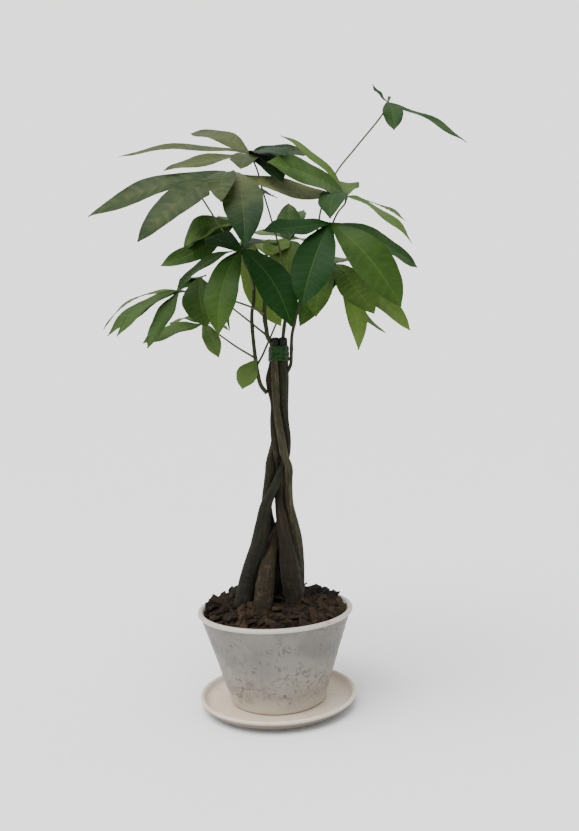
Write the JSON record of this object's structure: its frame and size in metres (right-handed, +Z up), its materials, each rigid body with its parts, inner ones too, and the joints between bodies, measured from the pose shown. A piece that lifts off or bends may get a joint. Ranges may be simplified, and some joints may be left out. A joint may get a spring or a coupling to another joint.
{
  "type": "potted money tree",
  "caption": "Small potted money tree with a plaited woody trunk, green shoots, fans of pointed leaflets, bark mulch, a tapered white pot and a round saucer.",
  "frame": {"origin": "centre of the saucer's flat underside, on the floor", "axes": "+Z up along the pot's axis; +Y away from the side that the picture shows, so the viewer looks along +Y; +X to the viewer's right"},
  "size_m": [0.4798, 0.3362, 0.8035],
  "materials": {
    "saucer_ceramic": "satin",
    "pot_ceramic": "satin",
    "soil": "matte",
    "bark_chips": "matte",
    "trunk_bark": "matte",
    "tie_tape": "gloss",
    "green_stem": "satin",
    "leaf_dark": "satin",
    "leaf_grey_green": "satin",
    "leaf_green": "satin",
    "leaf_bright": "satin"
  },
  "bodies": {
    "root": {"saucer": "saucer_ceramic", "pot": "pot_ceramic", "potting_soil": "soil", "bark_mulch": "bark_chips", "strand_front_left": "trunk_bark", "strand_front": "trunk_bark", "strand_front_right": "trunk_bark", "strand_back_right": "trunk_bark", "strand_back_left": "trunk_bark", "tie_tape": "tie_tape", "shoot_left": "green_stem", "shoot_centre": "green_stem", "shoot_inner": "green_stem", "shoot_outer": "green_stem", "leaf_top_left": "leaf_grey_green", "leaf_front_left": "leaf_grey_green", "leaf_upper_right": "leaf_green", "leaf_front_right": "leaf_dark", "leaf_far_right": "leaf_green", "leaf_front_centre": "leaf_dark", "leaf_mid_left": "leaf_bright", "leaf_low_left": "leaf_green", "leaf_lowest_left": "leaf_green", "leaf_single": "leaf_green", "leaf_low_right": "leaf_bright", "leaf_centre_back": "leaf_bright", "leaf_inner_left": "leaf_dark", "leaf_inner_centre": "leaf_bright", "leaf_back_left": "leaf_grey_green"}
  },
  "joints": []
}
